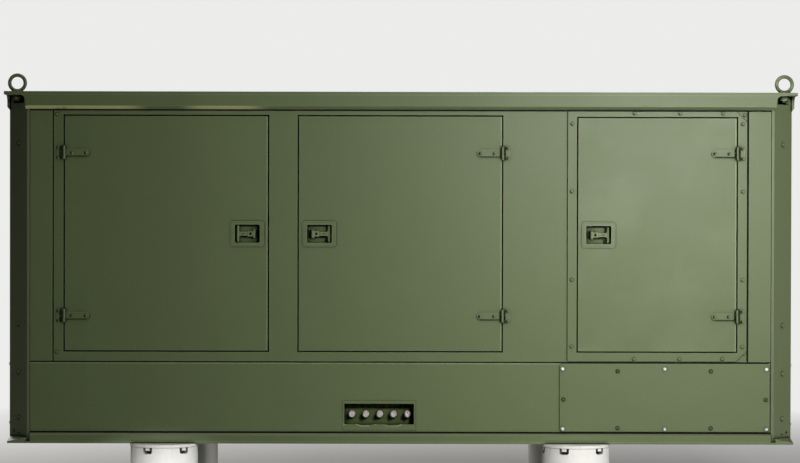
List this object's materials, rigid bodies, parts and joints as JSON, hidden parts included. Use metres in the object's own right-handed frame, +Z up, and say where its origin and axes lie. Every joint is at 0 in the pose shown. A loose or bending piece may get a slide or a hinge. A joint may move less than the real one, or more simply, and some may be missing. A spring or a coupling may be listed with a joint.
{
  "type": "generator set",
  "caption": "Generator set in a long sheet-steel enclosure with strap-hinged doors, folding T-handle latches, a load-terminal recess, lifting eyes and round stands.",
  "frame": {"origin": "on the ground under the middle of the enclosure", "axes": "+X along the enclosure, to the right seen from the front; -Y out of the front with the doors; +Z up"},
  "size_m": [3.3, 1.3866, 1.841],
  "materials": {
    "olive_paint": "semi-matte olive green paint",
    "handle_paint": "semi-matte olive green paint",
    "recess_paint": "matte dark green paint",
    "stud_metal": "turned bright metal",
    "galvanised": "bright zinc plate",
    "stand_paint": "worn white paint",
    "machine_paint": "satin grey machine enamel",
    "radiator_black": "matte black",
    "seal_rubber": "matte black rubber"
  },
  "bodies": {
    "enclosure": {"base_plate": "olive_paint", "bottom_rails": "olive_paint", "corner_posts": "olive_paint", "waist_rails": "olive_paint", "uprights": "olive_paint", "top_rails": "olive_paint", "roof_plate": "olive_paint", "lifting_eyes": "olive_paint", "panel_seals": "seal_rubber", "front_strips": "olive_paint", "front_panel": "olive_paint", "door_frame": "olive_paint", "door_jambs": "olive_paint", "door_seals": "seal_rubber", "lower_front_panel": "olive_paint", "cover_plate": "olive_paint", "terminal_board": "olive_paint", "terminal_studs": "stud_metal", "hinge_leaves": "olive_paint", "end_panels": "olive_paint", "end_covers": "olive_paint", "back_panel": "olive_paint", "back_strips": "olive_paint", "back_doors": "olive_paint", "back_hinges": "olive_paint", "back_latches": "olive_paint", "lower_back_panel": "olive_paint", "skid": "machine_paint", "engine": "machine_paint", "alternator": "machine_paint", "radiator": "radiator_black", "control_cabinet": "machine_paint", "stands": "stand_paint"},
    "door_1": {"door_1": "olive_paint", "door_1_straps": "olive_paint", "latch_pan_1": "olive_paint"},
    "door_2": {"door_2": "olive_paint", "door_2_straps": "olive_paint", "latch_pan_2": "olive_paint"},
    "door_3": {"door_3": "olive_paint", "door_3_straps": "olive_paint", "latch_pan_3": "olive_paint"},
    "handle_1": {"handle_1": "handle_paint"},
    "handle_2": {"handle_2": "handle_paint"},
    "handle_3": {"handle_3": "handle_paint"}
  },
  "joints": [
    {"name": "door_1_hinge", "type": "hinge", "parent": "enclosure", "child": "door_1", "pos_m": [-1.4, -0.5963, 1.171], "axis": [0, 0, -1], "range_deg": [0, 120]},
    {"name": "door_2_hinge", "type": "hinge", "parent": "enclosure", "child": "door_2", "pos_m": [0.424, -0.5963, 1.171], "axis": [0, 0, 1], "range_deg": [0, 120]},
    {"name": "door_3_hinge", "type": "hinge", "parent": "enclosure", "child": "door_3", "pos_m": [1.4, -0.5993, 1.171], "axis": [0, 0, 1], "range_deg": [0, 120]},
    {"name": "handle_1_fold", "type": "hinge", "parent": "door_1", "child": "handle_1", "pos_m": [-0.61, -0.577, 1.1735], "axis": [0, 0, 1], "range_deg": [0, 90]},
    {"name": "handle_2_fold", "type": "hinge", "parent": "door_2", "child": "handle_2", "pos_m": [-0.366, -0.577, 1.1735], "axis": [0, 0, -1], "range_deg": [0, 90]},
    {"name": "handle_3_fold", "type": "hinge", "parent": "door_3", "child": "handle_3", "pos_m": [0.796, -0.58, 1.171], "axis": [0, 0, -1], "range_deg": [0, 90]}
  ]
}
